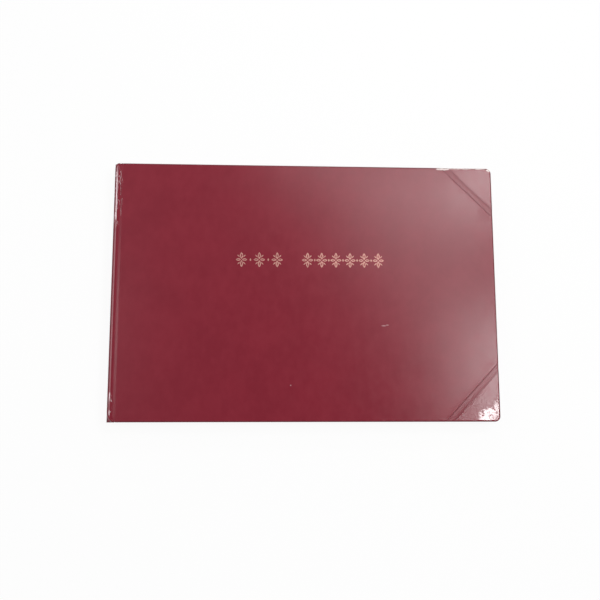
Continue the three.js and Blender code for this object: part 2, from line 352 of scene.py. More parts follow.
# Where the front cover is creased with painted glints, has painted pale glints at its top edge, is
# nicked and is glazed: the middle of each spot and its half width and height, in mm.
CREASED_SPOTS = (((-156.5, 79), (5.5, 30)), ((-157, -93), (2.2, 11)))
GLINT_SPOTS = (((118.5, 106.2), (8, 1.3)), ((157.6, 105.6), (2.2, 2)), ((135, 106.8), (30, 0.7)))
NICKS = (((65, -29), (2.6, 0.6)), ((-12, -78), (0.7, 0.7)), ((68, -28.4), (1.6, 0.5)))
GLAZED_SPOTS = (((151, -102), (13, 8)), ((157, -96), (3, 9)))


def any_spot(across, along, spots):
    share = spot(across, along, *spots[0])
    for place in spots[1:]:
        share = share.most(spot(across, along, *place))
    return share


# Heights that part the top of the front shoulder, and the front cover's face, from what lies below
SHOULDER_TOP = (18.36 * MM, 18.44 * MM)
FRONT_FACE = (17.2 * MM, 17.9 * MM)


def leatherette():
    f = Finish.material("maroon_leatherette")
    across, along, up = f.axes()
    lines = [from_corner_line(across, along, end) for end in CORNER_LEGS]
    line = lines[0].most(lines[1])
    band = line.rise(-5.1 * MM, -4.5 * MM) * (1 - line.rise(-0.5 * MM, 0.1 * MM))
    # Painted shade along the creases at both edges of each corner piece's pared band
    crease_shade = (near(line, CREASE_AT, 0.45 * MM) * 0.55).most(
        near(line, -0.15 * MM, 0.5 * MM) * 0.45)
    rim = (along.abs() - HEAD).most(across - FORE_EDGE).most(SPINE_LEFT + 1 * MM - across)
    # Painted shade: a dark line along the head, tail, fore-edge and spine edges of the covering
    rim_shade = rim.rise(-1.5 * MM, -0.5 * MM)
    # A painted highlight along the top of the front shoulder
    ridge_highlight = up.rise(*SHOULDER_TOP) * (1 - across.rise(COVER_LOW.x - 0.2 * MM, COVER_LOW.x))
    on_top = up.rise(*FRONT_FACE)

    mottle = f.noise(26 * MM, detail=3, roughness=0.55)
    patches = f.noise(7 * MM, detail=3, roughness=0.6, stretch=(1.3, 0.8, 1))
    grain = f.noise(0.5 * MM, detail=3, roughness=0.6)
    wander = f.noise(4 * MM, detail=1.5, stretch=(2.2, 0.3, 1), turn=(0, 0, 0.12))
    fold = 1 - (wander - 0.5).abs().rise(0.0, 0.022)
    creased = any_spot(across, along, CREASED_SPOTS).rise(0.05, 0.5) * on_top
    speckle = f.noise(1.6 * MM, detail=3, roughness=0.7)
    ragged = 1 + (speckle - 0.5) * 6.5
    # Painted pale glints along the top edge and at the head corner of the fore-edge
    edge_glints = (any_spot(across, along, GLINT_SPOTS) * ragged).rise(0.45, 0.6) * on_top
    nicked = any_spot(across, along, NICKS) * on_top
    # Painted glints: pale strokes along the creases in the creased spots, and the shoulder's
    # painted highlight; the same mask also raises them as relief
    creases_and_glints = (fold * creased).most(ridge_highlight * (0.22 + creased * wander.rise(0.36, 0.46)))

    colour = f.blend((mottle * 0.6 + patches * 0.4).rise(0.3, 0.7), MAROON_DEEP, MAROON)
    # Painted shade: the sunk pared band a little darker, its creases and the rims darker still
    shaded = (band * 0.09).most(crease_shade).most(rim_shade * 0.5)
    colour = f.blend(shaded, colour, PAINTED_SHADE_MAROON)
    # Painted glints on the creases and the shoulder ridge, and real pale nicks
    colour = f.blend((creases_and_glints * 0.85).most(nicked * 0.35), colour, GLINT_AND_NICK_PINK)
    # Painted glints along the top edge
    colour = f.blend(edge_glints * 0.8, colour, GLINT_PALE)

    pores = f.add("TexVoronoi", {"feature": "DISTANCE_TO_EDGE"}, {
        "Vector": f.place(), "Scale": 1 / (0.8 * MM)})["Distance"]
    waves = f.noise(34 * MM, detail=1.5, roughness=0.4)
    normal = f.bump(waves, 0.10 * MM)
    glazed = (any_spot(across, along, GLAZED_SPOTS) * ragged).rise(0.35, 0.5) * on_top
    normal = f.bump(pores.rise(0.0, 0.25) * (1 - glazed), 0.006 * MM, normal=normal)
    normal = f.bump(grain * (1 - glazed), 0.008 * MM, normal=normal)
    normal = f.bump(creases_and_glints, 0.25 * MM, normal=normal)

    glossy_corner = lines[1].rise(-9 * MM, 1.5 * MM)
    duller = (grain - 0.5) * 0.06 + (patches - 0.5) * 0.10 + band * 0.055 + rim_shade * 0.15
    glossier = glossy_corner * 0.06 + glazed * 0.09 + creases_and_glints * 0.10
    rough = 0.23 + duller - glossier
    return f.surface(Base_Color=colour, Roughness=rough, Normal=normal,
                     Specular_IOR_Level=0.28, Coat_Weight=0.12, Coat_Roughness=0.2, Coat_IOR=1.4)


def foil():
    f = Finish.material("rose_gold_foil")
    worn = f.noise(0.9 * MM, detail=4, roughness=0.7)
    colour = f.blend(worn.rise(0.45, 0.62), rgb(192, 141, 131), rgb(160, 111, 104))
    flaked = worn.rise(0.60, 0.66)
    colour = f.blend(flaked * 0.8, colour, MAROON)
    return f.surface(Base_Color=colour, Roughness=0.38 + worn * 0.15, Metallic=0.7 * (1 - flaked),
                     Normal=f.bump(worn, 0.02 * MM))


# The ruling of the leaves: faint lines, columns and a double line under the heading. A line's two
# values are the distances from its middle at which its ink starts to fade and is gone.
LINE_PITCH = 8 * MM
COLUMN_PITCH = 31 * MM
HEADING_LINES = 86 * MM
HEADING_GAP = 0.8 * MM
RULED_HALF_WIDTH = 150 * MM
LINES_TOP = 84 * MM
COLUMNS_TOP = 96 * MM
RULED_FOOT = -99 * MM
RULING_FADE = 0.2 * MM
FAINT_LINE = (0.09 * MM, 0.16 * MM)
STRONG_LINE = (0.10 * MM, 0.18 * MM)


def ledger_paper():
    f = Finish.material("ledger_paper")
    across, along, _ = f.axes()
    tone = f.add("Attribute", {"attribute_name": "leaf_tone"})["Fac"]
    fibre = f.noise(0.8 * MM, detail=4, roughness=0.7)
    colour = f.blend(tone * 0.75 + fibre * 0.25, PAPER_SHADE, PAPER)

    ruled = (1 - across.abs().rise(RULED_HALF_WIDTH - RULING_FADE, RULED_HALF_WIDTH)) \
        * along.rise(RULED_FOOT, RULED_FOOT + RULING_FADE)
    lines = 1 - (along.repeat(LINE_PITCH) - LINE_PITCH / 2).abs().rise(*FAINT_LINE)
    lines = lines * (1 - along.rise(LINES_TOP - RULING_FADE, LINES_TOP))
    colour = f.blend(lines * ruled * 0.75, colour, RULING_BLUE)
    columns = 1 - (across.repeat(COLUMN_PITCH) - COLUMN_PITCH / 2).abs().rise(*STRONG_LINE)
    columns = columns * (1 - along.rise(COLUMNS_TOP, COLUMNS_TOP + RULING_FADE))
    heading = 1 - ((along - HEADING_LINES).abs() - HEADING_GAP).abs().rise(*STRONG_LINE)
    colour = f.blend((columns + heading).least(1.0) * ruled * 0.7, colour, RULING_RED)
    return f.surface(Base_Color=colour, Roughness=0.78, Normal=f.bump(fibre, 0.01 * MM),
                     Specular_IOR_Level=0.3)


def endpaper():
    f = Finish.material("cream_endpaper")
    fibre = f.noise(0.7 * MM, detail=4, roughness=0.7)
    cloud = f.noise(25 * MM, detail=2)
    colour = f.blend((fibre * 0.5 + cloud * 0.5).rise(0.3, 0.7), rgb(228, 221, 202), ENDPAPER)
    return f.surface(Base_Color=colour, Roughness=0.85, Normal=f.bump(fibre, 0.015 * MM),
                     Specular_IOR_Level=0.25)


def greyboard():
    f = Finish.material("greyboard")
    fleck = f.noise(0.6 * MM, detail=5, roughness=0.75)
    colour = f.blend(fleck.rise(0.35, 0.65), rgb(118, 110, 96), rgb(160, 151, 134))
    return f.surface(Base_Color=colour, Roughness=0.92, Normal=f.bump(fleck, 0.04 * MM))


def kraft_paper():
    f = Finish.material("kraft_paper")
    fibre = f.noise(1.0 * MM, detail=5, roughness=0.7, stretch=(1, 0.3, 1))
    colour = f.blend(fibre.rise(0.35, 0.65), rgb(152, 114, 74), rgb(184, 146, 102))
    return f.surface(Base_Color=colour, Roughness=0.85, Normal=f.bump(fibre, 0.03 * MM))


def woven(name, light, dark, pitch):
    """Cloth of a plain weave, its threads running along Y and Z."""
    f = Finish.material(name)
    _, along, up = f.axes()
    over = (along.repeat(pitch) - pitch / 2).abs() / (pitch / 2)
    under = (up.repeat(pitch) - pitch / 2).abs() / (pitch / 2)
    weave = (over + under) * 0.5
    colour = f.blend(weave, dark, light)
    return f.surface(Base_Color=colour, Roughness=0.95, Normal=f.bump(weave, 0.06 * MM))


def headband_cloth():
    f = Finish.material("striped_headband")
    _, _, up = f.axes()
    stripe = (up.repeat(1.9 * MM) - 0.95 * MM).abs().rise(0.43 * MM, 0.50 * MM)
    thread = (up.repeat(0.38 * MM) - 0.19 * MM).abs() / (0.19 * MM)
    colour = f.blend(stripe, rgb(236, 226, 204), rgb(176, 42, 46))
    colour = f.blend(thread * 0.3, colour, rgb(90, 30, 30))
    return f.surface(Base_Color=colour, Roughness=0.75, Normal=f.bump(thread, -0.05 * MM))


FINISHES = {
    "leatherette": leatherette(),
    "foil": foil(),
    "ledger_paper": ledger_paper(),
    "endpaper": endpaper(),
    "greyboard": greyboard(),
    "kraft_paper": kraft_paper(),
    "gauze": woven("mull_gauze", rgb(238, 234, 224), rgb(150, 144, 130), 0.7 * MM),
    "sewing_tape": woven("cotton_tape", rgb(226, 218, 196), rgb(180, 170, 146), 0.45 * MM),
    "headband": headband_cloth(),
}


# Mesh helpers

LEVEL_TOLERANCE = 1e-6
CUT_TOLERANCE = 1e-7


def dress(mesh, finish):
    """Gives a mesh its finish, and notes where each point lies in the closed book."""
    mesh.materials.clear()
    mesh.materials.append(FINISHES[finish])
    places = [value for vert in mesh.vertices for value in vert.co]
    mesh.attributes.new("rest_place", "FLOAT_VECTOR", "POINT").data.foreach_set("vector", places)


def make(name, bm, finish, smooth_below=32):
    """A finished piece at the origin, its place in its mesh."""
    mesh = bpy.data.meshes.new(name)
    bm.to_mesh(mesh)
    bm.free()
    piece = bpy.data.objects.new(name, mesh)
    bpy.context.scene.collection.objects.link(piece)
    dress(mesh, finish)
    mesh.polygons.foreach_set("use_smooth", [True] * len(mesh.polygons))
    mesh.set_sharp_from_angle(angle=math.radians(smooth_below))
    return piece


def cut(bm, point, normal, clear=False):
    """Cuts every face along a plane, and takes away what lies on the normal's side if asked."""
    everything = bm.verts[:] + bm.edges[:] + bm.faces[:]
    return bmesh.ops.bisect_plane(
        bm, geom=everything, plane_co=point, plane_no=normal, clear_outer=clear,
        dist=CUT_TOLERANCE)


def thicken(bm, thickness):
    """Gives a sheet a thickness, all of it behind the side that its faces turn outwards."""
    bm.normal_update()
    outside, border = bm.faces[:], [e.link_loops[0] for e in open_edges(bm)]
    border = [(loop.vert, loop.link_loop_next.vert) for loop in border]
    twins = {v: v.co - v.normal * thickness for v in bm.verts}
    twins = {v: bm.verts.new(co) for v, co in twins.items()}
    for face in outside:
        bm.faces.new([twins[v] for v in reversed(face.verts)])
    for a, b in border:
        bm.faces.new((b, a, twins[a], twins[b]))


def open_edges(bm):
    return [e for e in bm.edges if e.is_boundary]


def turned_over(bm):
    """The same mesh for the back cover, mirrored through the middle of the book's thickness."""
    matrix = Matrix.Translation((0, 0, BOOK_TOP)) @ Matrix.Diagonal((1, 1, -1, 1))
    bmesh.ops.transform(bm, matrix=matrix, verts=bm.verts)
    bmesh.ops.reverse_faces(bm, faces=bm.faces)


def steps(low, high, size):
    """Evenly spaced values from low to high, about size apart."""
    count = max(1, round((high - low) / size))
    return [low + (high - low) * i / count for i in range(count + 1)]


# Covers

def rounded_plate(left, right, half, spine_radius, fore_radius, low, high, edge):
    """A plate between two levels, its corners and edges rounded."""
    bm = bmesh.new()
    places = ((left, -half), (right, -half), (right, half), (left, half))
    corners = [bm.verts.new((x, y, low)) for x, y in places]
    bm.faces.new(corners)
    for radius, pair in ((spine_radius, corners[::3]), (fore_radius, corners[1:3])):
        bmesh.ops.bevel(bm, geom=pair, offset=radius, affect="VERTICES",
                        segments=CORNER_SEGMENTS, profile=0.5, material=-1)
    raised = bmesh.ops.extrude_face_region(bm, geom=bm.faces[:])
    top = [v for v in raised["geom"] if isinstance(v, bmesh.types.BMVert)]
    bmesh.ops.translate(bm, verts=top, vec=(0, 0, high - low))
    bmesh.ops.recalc_face_normals(bm, faces=bm.faces)
    rims = [e for e in bm.edges if abs(e.verts[0].co.z - e.verts[1].co.z) < edge / 10]
    bmesh.ops.bevel(bm, geom=rims, offset=edge, affect="EDGES",
                    segments=EDGE_SEGMENTS, profile=0.5, material=-1)
    return bm


def window_faces(bm, level):
    """The faces at a level that lie inside the turned-in cloth."""
    left, right = COVER_LOW.x + SPINE_SIDE_TURN_IN, FORE_EDGE - TURN_IN
    half = HEAD - TURN_IN
    found = []
    for face in bm.faces:
        middle = face.calc_center_median()
        at_level = abs(middle.z - level) < LEVEL_TOLERANCE
        if at_level and left < middle.x < right and abs(middle.y) < half:
            found.append(face)
    return found


def covering():
    """The cloth drawn over the front board and turned in, as one sheet before it is cut."""
    inner_level = COVER_LOW.z
    outer = rounded_plate(
        COVER_LOW.x, FORE_EDGE - LIP, HEAD - LIP, INNER_CORNER_RADIUS, FORE_CORNER_RADIUS,
        inner_level, FACE, COVER_EDGE_RADIUS)
    pocket = rounded_plate(
        COVER_LOW.x + CLOTH, FORE_EDGE - CLOTH, HEAD - CLOTH, INNER_CORNER_RADIUS - CLOTH,
        FORE_CORNER_RADIUS - CLOTH, inner_level + CLOTH, BOOK_TOP - CLOTH, BOARD_EDGE_RADIUS)
    across = steps(COVER_LOW.x + SPINE_SIDE_TURN_IN, FORE_EDGE - TURN_IN, FACE_GRID)
    along = steps(-HEAD + TURN_IN, HEAD - TURN_IN, FACE_GRID)
    for x in (COVER_LOW.x + FLAT_FROM_EDGE, FORE_EDGE - FLAT_FROM_EDGE):
        cut(outer, (x, 0, 0), (1, 0, 0))
    diagonal = (FORE_CORNER_RADIUS - FLAT_FROM_EDGE) / math.sqrt(2)
    for side in (-1, 1):
        cut(outer, (0, side * (HEAD - FLAT_FROM_EDGE), 0), (0, 1, 0))
        cut(outer, (FORE_EDGE - FORE_CORNER_RADIUS + diagonal,
                    side * (HEAD - FORE_CORNER_RADIUS + diagonal), 0), (1, side, 0))
    for bm, level in ((outer, inner_level), (pocket, inner_level + CLOTH)):
        for x in across:
            cut(bm, (x, 0, 0), (1, 0, 0))
        for y in along:
            cut(bm, (0, y, 0), (0, 1, 0))
        bmesh.ops.delete(bm, geom=window_faces(bm, level), context="FACES")
    bmesh.ops.reverse_faces(pocket, faces=pocket.faces)
    inside = bpy.data.meshes.new("pocket")
    pocket.to_mesh(inside)
    pocket.free()
    outer.from_mesh(inside)
    bpy.data.meshes.remove(inside)
    bmesh.ops.bridge_loops(outer, edges=open_edges(outer))
    return outer


class CornerLine:
    """The long side of a corner piece: distance is measured from it towards the corner."""

    def __init__(self, end):
        across, down = CORNER_LEGS[end]
        side = 1 if end == "head" else -1
        self.point = Vector((FORE_EDGE - across / 2, side * (HEAD - down / 2), 0))
        self.normal = Vector((down, side * across, 0)).normalized()

    def distance(self, co):
        return (co - self.point).dot(self.normal)

    def at(self, distance):
        return self.point + self.normal * distance


def soft(value, low, high):
    t = max(0.0, min(1.0, (value - low) / (high - low)))
    return t * t * (3 - 2 * t)


def peak(value, middle, half):
    """1 at the middle, falling evenly to 0 at half from it."""
    return max(0.0, 1 - abs(value - middle) / half)


# Where the sheet is cut to follow the relief, in mm from a corner piece's line
RELIEF_STOPS = [-6.3, -5.6, -5.15, -4.9, -4.6, -4.2, -3.5, -2.6, -2.0, -1.4, -0.8, -0.2, 0.4, 1.0]


def pared_relief(distance):
    """How far the surface sinks at a distance from a corner piece's line, by its pared border."""
    into, out_of = PARED_SLOPES
    sunk = PARED_DEPTH * soft(distance, *into) * (1 - soft(distance, *out_of))
    crease = CREASE_DEPTH * peak(distance, CREASE_AT, CREASE_HALF)
    rim = RIM_HEIGHT * peak(distance, RIM_AT, RIM_HALF)
    return sunk + crease - rim


def shape_corners(bm, lines):
    """Cuts the pared borders into the sheet and sinks them."""
    for line in lines.values():
        for stop in RELIEF_STOPS:
            cut(bm, line.at(stop * MM), line.normal)
    bm.normal_update()
    for vert in bm.verts:
        if vert.normal.z < 0.05 or vert.co.z < FACE - COVER_EDGE_RADIUS:
            continue
        sink = sum(pared_relief(line.distance(vert.co)) for line in lines.values())
        vert.co -= vert.normal * sink


def separate(bm, planes):
    """A copy of the mesh, with what lies beyond each plane taken away, and closed again."""
    part = bm.copy()
    for point, normal in planes:
        cut(part, point, normal, clear=True)
        edges = open_edges(part)
        if edges:
            bmesh.ops.holes_fill(part, edges=edges, sides=0)
    return part


def cover(name):
    """A cover's side covering and its two corner pieces."""
    lines = {end: CornerLine(end) for end in CORNER_LEGS}
    sheet = covering()
    shape_corners(sheet, lines)
    inward = [(line.at(-PARED_MARGIN - SEAM / 2), line.normal) for line in lines.values()]
    parts = [("side_covering", "side_cloth", separate(sheet, inward))]
    for end, line in lines.items():
        outward = [(line.at(-PARED_MARGIN + SEAM / 2), -line.normal)]
        parts.append((f"corner_{end}_covering", f"corner_{end}", separate(sheet, outward)))
    sheet.free()
    for part_name, node, bm in parts:
        if name == "back":
            turned_over(bm)
        piece = make(f"{name}_{part_name}", bm, "leatherette", smooth_below=40)
        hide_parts(f"{name}_{node}")
        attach(piece, f"{name}_cover")


def pastedown(name):
    """The endpaper glued inside a cover, which sinks a little where no cloth lies under it."""
    bm = bmesh.new()
    left, right = PASTEDOWN_LOW.x, PASTEDOWN_HIGH.x
    bmesh.ops.create_grid(bm, x_segments=1, y_segments=1, size=0.5)
    bmesh.ops.scale(bm, vec=(right - left, 2 * PASTEDOWN_HIGH.y, 1), verts=bm.verts)
    bmesh.ops.translate(bm, vec=((left + right) / 2, 0, PASTEDOWN_LOW.z), verts=bm.verts)
    slope = PASTEDOWN_SLOPE
    spine_side, fore_side = COVER_LOW.x + SPINE_SIDE_TURN_IN, FORE_EDGE - TURN_IN
    end = HEAD - TURN_IN
    for middle, normal in ((spine_side, (1, 0, 0)), (fore_side, (1, 0, 0)),
                           (-end, (0, 1, 0)), (end, (0, 1, 0))):
        for share in (-1, -0.5, 0, 0.5, 1):
            cut(bm, Vector(normal) * (middle + share * slope), normal)
    for vert in bm.verts:
        inside = min(soft(vert.co.x, spine_side - slope, spine_side + slope),
                     1 - soft(vert.co.x, fore_side - slope, fore_side + slope),
                     1 - soft(abs(vert.co.y), end - slope, end + slope))
        vert.co.z += PASTEDOWN_SINK * inside
    bmesh.ops.reverse_faces(bm, faces=bm.faces)
    thicken(bm, PASTEDOWN_HIGH.z - PASTEDOWN_LOW.z)
    if name == "back":
        turned_over(bm)
    piece = make(f"{name}_pastedown_sheet", bm, "endpaper")
    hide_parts(f"{name}_pastedown")
    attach(piece, f"{name}_cover")


# Spine

# The joint's curve: where it meets the board, and its handles there and at the shoulder
JOINT_END = Vector((COVER_LOW.x + 0.58 * MM, 0, FACE - 0.09 * MM))
JOINT_END_HANDLE = Vector((-1.4 * MM, 0, -0.24 * MM))
JOINT_START_HANDLE = Vector((1.2 * MM, 0, -0.20 * MM))
JOINT_STEPS = 8


def spine_x(z, depth=0.0):
    """The X of the spine's rounded outside at a height, or of what lies a depth inside it."""
    share = (z - MID) / CARD_HALF
    return SPINE_LEFT + depth + SPINE_ROUND * share * share


def half_spine_profile():
    """From the middle of the spine over the front shoulder, and across the joint to the board."""
    heights = steps(MID, SHOULDER_Z - FACE_BELOW_SHOULDER, SPINE_STEP_UP)
    points = [Vector((spine_x(z), 0, z)) for z in heights]
    for i in range(SHOULDER_STEPS + 1):
        angle = math.radians(180 - i * (180 - RIDGE_ANGLE) / SHOULDER_STEPS)
        points.append(Vector((SHOULDER_X + SHOULDER_RADIUS * math.cos(angle), 0,
                              SHOULDER_Z + SHOULDER_RADIUS * math.sin(angle))))
    start = points[-1]
    for i in range(1, JOINT_STEPS + 1):
        t = i / JOINT_STEPS
        points.append(start * (1 - t) ** 3 + (start + JOINT_START_HANDLE) * 3 * t * (1 - t) ** 2
                      + (JOINT_END + JOINT_END_HANDLE) * 3 * t * t * (1 - t) + JOINT_END * t ** 3)
    return points


def drawn_along_y(points, places):
    """A sheet drawn out from a line of points in the XZ plane, through each place along Y."""
    bm = bmesh.new()
    row = [bm.verts.new((p.x, places[0], p.z)) for p in points]
    edges = [bm.edges.new(pair) for pair in zip(row, row[1:])]
    for before, after in zip(places, places[1:]):
        made = bmesh.ops.extrude_edge_only(bm, edges=edges)["geom"]
        edges = [g for g in made if isinstance(g, bmesh.types.BMEdge)]
        moved = [g for g in made if isinstance(g, bmesh.types.BMVert)]
        bmesh.ops.translate(bm, verts=moved, vec=(0, after - before, 0))
    bmesh.ops.recalc_face_normals(bm, faces=bm.faces)
    return bm


# How far the shoulders are drawn in at the ends of the spine, across it and along it from the end,
# and how far the joint's end is pulled back
END_ROUNDING = {
    ("front", -1): (5.2 * MM, 9 * MM, 1.8 * MM),
    ("front", 1): (2.4 * MM, 4.5 * MM, 0.3 * MM),
    ("back", -1): (0.8 * MM, 3 * MM, 0.3 * MM),
    ("back", 1): (0.8 * MM, 3 * MM, 0.3 * MM),
}
END_STOPS = (0, 0.15, 0.3, 0.45, 0.6, 0.72, 0.82, 0.9, 0.96)

# Between which shares of the card's half height the drawing in starts, how it dies out across the
# joint, and how far it takes the cloth down
DRAWN_FROM, DRAWN_WHOLLY = 0.72, 1.12
DRAWN_WIDTH = 5 * MM
JOINT_PULLED = ((-4 * MM, -3.2 * MM), (-0.9 * MM, 0.0))
DRAWN_DOWN = 0.35 * MM
CARD_STOPS = (0.72, 0.8, 0.88, 0.94)
CARD_GAP = 0.02 * MM

# Rows of the cap, where the covering turns over an end of the spine: how far along the book each
# lies, and its share of the way to the inside
CAP_ROWS = [(HEAD - CAP_TURN_IN, 1.0), (HEAD - 0.12 * MM, 1.0), (HEAD, 0.82), (HEAD, 0.18),
            (HEAD - 0.05 * MM, 0.04), (HEAD - 0.14 * MM, 0.0)]


def drawn_in(co, side, rounding):
    """A point of the spine covering, moved in as the cloth is at the head or the tail."""
    across, reach, pull = rounding
    past = min(1.0, max(0.0, (side * co.y - (HEAD - reach)) / reach))
    raised = soft(co.z, MID + CARD_HALF * DRAWN_FROM, MID + CARD_HALF * DRAWN_WHOLLY)
    beside = co.x - COVER_LOW.x
    nearness = max(0.0, min(1.0, -beside / DRAWN_WIDTH))
    into, out_of = JOINT_PULLED
    joint = soft(beside, *into) * (1 - soft(beside, *out_of))
    return Vector((co.x + across * (1 - math.sqrt(1 - past * past)) * raised * nearness,
                   co.y - side * pull * joint * past ** 3,
                   co.z - DRAWN_DOWN * past ** 3 * raised))


def stiffener():
    """The card inside the spine covering, its corners drawn in with the covering."""
    bm = bmesh.new()
    bm.from_mesh(frame["nodes"]["spine_card"].data)
    for side in (-1, 1):
        for stop in END_STOPS:
            cut(bm, (0, side * (HEAD - END_ROUNDING["front", side][1] * (1 - stop)), 0), (0, 1, 0))
    for share in CARD_STOPS:
        cut(bm, (0, 0, MID + CARD_HALF * share), (0, 0, 1))
        cut(bm, (0, 0, MID - CARD_HALF * share), (0, 0, 1))
    for vert in bm.verts:
        side = -1 if vert.co.y < 0 else 1
        name = "back" if vert.co.z < MID else "front"
        level = abs(vert.co.z - MID) + MID
        drawn = drawn_in(Vector((vert.co.x, vert.co.y, level)), side, END_ROUNDING[name, side])
        vert.co.x = drawn.x + CARD_GAP
    piece = make("spine_stiffener", bm, "greyboard")
    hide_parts("spine_card")
    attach(piece, "text_block")


def from_middle(face):
    """Smallest for the face at the middle of the spine."""
    middle = face.calc_center_median()
    return abs(middle.y) + middle.z


def spine_half(name):
    """Half of the spine covering, from its middle to a board."""
    profile = half_spine_profile()
    inner = []
    for p in profile:
        z = min(p.z, CAP_LEVEL)
        x = max(spine_x(z, CAP_DEPTH), min(p.x + CAP_DEPTH, COVER_LOW.x))
        inner.append(Vector((x, 0, z)))
    ends = {side: END_ROUNDING[name, side] for side in (-1, 1)}
    tail_reach, head_reach = ends[-1][1], ends[1][1]
    places = [-HEAD + tail_reach * (1 - s) for s in reversed(END_STOPS)]
    places += steps(-HEAD + tail_reach, HEAD - head_reach, SPINE_STEP_ALONG)[1:-1]
    places += [HEAD - head_reach * (1 - s) for s in END_STOPS]
    rows = [(-y, share) for y, share in CAP_ROWS]
    rows += [(y, 0.0) for y in places if abs(y) < HEAD - SPINE_ROW_MARGIN]
    rows += reversed(CAP_ROWS)
    bm = bmesh.new()
    strips = []
    for y, share in rows:
        side = -1 if y < 0 else 1
        strips.append([bm.verts.new(drawn_in(
            p.lerp(q, share) + Vector((0, y, 0)), side, ends[side]))
            for p, q in zip(profile, inner)])
    for before, after in zip(strips, strips[1:]):
        for i in range(len(profile) - 1):
            bm.faces.new((before[i], before[i + 1], after[i + 1], after[i]))
    bmesh.ops.recalc_face_normals(bm, faces=bm.faces)
    if min(bm.faces, key=from_middle).normal.x > 0:
        bmesh.ops.reverse_faces(bm, faces=bm.faces)
    thicken(bm, CLOTH)
    for vert in bm.verts:
        vert.co.y = max(-HEAD, min(HEAD, vert.co.y))
    if name == "back":
        turned_over(bm)
    piece = make(f"spine_covering_{name}", bm, "leatherette", smooth_below=45)
    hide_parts("spine_cloth")
    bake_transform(piece)


# Leaves

def sheet_path(low, high, apex, fore, lift):
    """One folded sheet, from its fore-edge above, round the fold, to its fore-edge below."""
    middle, half = (low + high) / 2, (high - low) / 2
    leaf = [fore - (fore - apex - GUTTER_REACH) * s for s in (0, 0.25, 0.5, 0.75, 1)]
    gutter = [apex + GUTTER_REACH
              - (GUTTER_REACH - half) * (1 - (1 - i / GUTTER_ROWS) ** GUTTER_CROWDING)
              for i in range(1, GUTTER_ROWS + 1)]
    above = [Vector((x, 0, middle + lift)) for x in leaf + gutter]
    fold = []
    for i in range(1, FOLD_STEPS):
        angle = math.pi / 2 + math.pi * i / FOLD_STEPS
        fold.append(Vector((apex + half + lift * math.cos(angle), 0,
                            middle + lift * math.sin(angle))))
    below = [Vector((p.x, 0, middle - lift)) for p in reversed(above)]
    return above + fold + below


def section(number, chance):
    """A section of folded sheets, held by the text block unless it has a body of its own."""
    label = f"{number:02d}"
    low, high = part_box(f"section_{label}_leaves")
    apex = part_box(f"section_{label}_fold")[0].x
    whole = bmesh.new()
    tone = whole.verts.layers.float.new("leaf_tone")
    section_tone = chance.uniform(*SECTION_TONES)
    for k in range(SHEETS_PER_SECTION):
        lift = (SHEETS_PER_SECTION - k - 0.5) * LEAF_PITCH
        fore = high.x - chance.uniform(0, TRIM_JITTER)
        tail = low.y + chance.uniform(0, TRIM_JITTER)
        head = high.y - chance.uniform(0, TRIM_JITTER)
        sheet = drawn_along_y(
            sheet_path(low.z, high.z, apex, fore, lift), [tail, (tail + head) / 2, head])
        thicken(sheet, LEAF_THICKNESS)
        shade = min(1.0, max(0.0, section_tone + chance.uniform(-TONE_JITTER, TONE_JITTER)))
        mesh = bpy.data.meshes.new("sheet")
        sheet.to_mesh(mesh)
        sheet.free()
        first = len(whole.verts)
        whole.from_mesh(mesh)
        bpy.data.meshes.remove(mesh)
        whole.verts.ensure_lookup_table()
        for vert in whole.verts[first:]:
            vert[tone] = shade
    piece = make(f"section_{label}", whole, "ledger_paper", smooth_below=50)
    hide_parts(f"section_{label}_fold", f"section_{label}_leaves")
    if f"section_{label}" in frame["bodies"]:
        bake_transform(piece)
    else:
        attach(piece, "text_block")


def flyleaf(name):
    """A free leaf of endpaper."""
    low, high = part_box(f"{name}_flyleaf")
    upper = high.z - FLYLEAF_SINK
    start = low.x - FLYLEAF_START
    stops = [start + FLYLEAF_BEND_REACH * i / FLYLEAF_BEND_STEPS
             for i in range(FLYLEAF_BEND_STEPS + 1)] + [0.0, high.x]
    bm = drawn_along_y([Vector((x, 0, upper)) for x in stops], [low.y, 0, high.y])
    bmesh.ops.solidify(bm, geom=bm.faces[:], thickness=FLYLEAF_THICKNESS)
    piece = make(f"{name}_flyleaf_sheet", bm, "endpaper")
    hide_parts(f"{name}_flyleaf")
    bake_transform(piece)


def endpaper_joint(name):
    """The strip of endpaper that crosses the joint, from the flyleaf's fold to the pastedown."""
    flyleaf_low, flyleaf_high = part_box("front_flyleaf")
    start = flyleaf_low.x - STRIP_START
    end = PASTEDOWN_LOW.x + STRIP_LAP
    low, high = flyleaf_high.z, PASTEDOWN_LOW.z + STRIP_LIFT
    points = []
    for i in range(STRIP_STEPS + 1):
        share = i / STRIP_STEPS
        z = low + (high - low) * soft(share, 0.1, 0.9)
        points.append(Vector((start + (end - start) * share, 0, z)))
    bm = drawn_along_y(points, [-PASTEDOWN_HIGH.y, 0, PASTEDOWN_HIGH.y])
    bmesh.ops.solidify(bm, geom=bm.faces[:], thickness=STRIP_THICKNESS)
    if name == "back":
        turned_over(bm)
    piece = make(f"{name}_endpaper_joint", bm, "endpaper")
    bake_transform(piece)


# Headbands

HEADBAND_TURNS = 60
HEADBAND_SIDES = 14
HEADBAND_MARGIN = 0.2 * MM
GROOVE_SHARE = 0.93


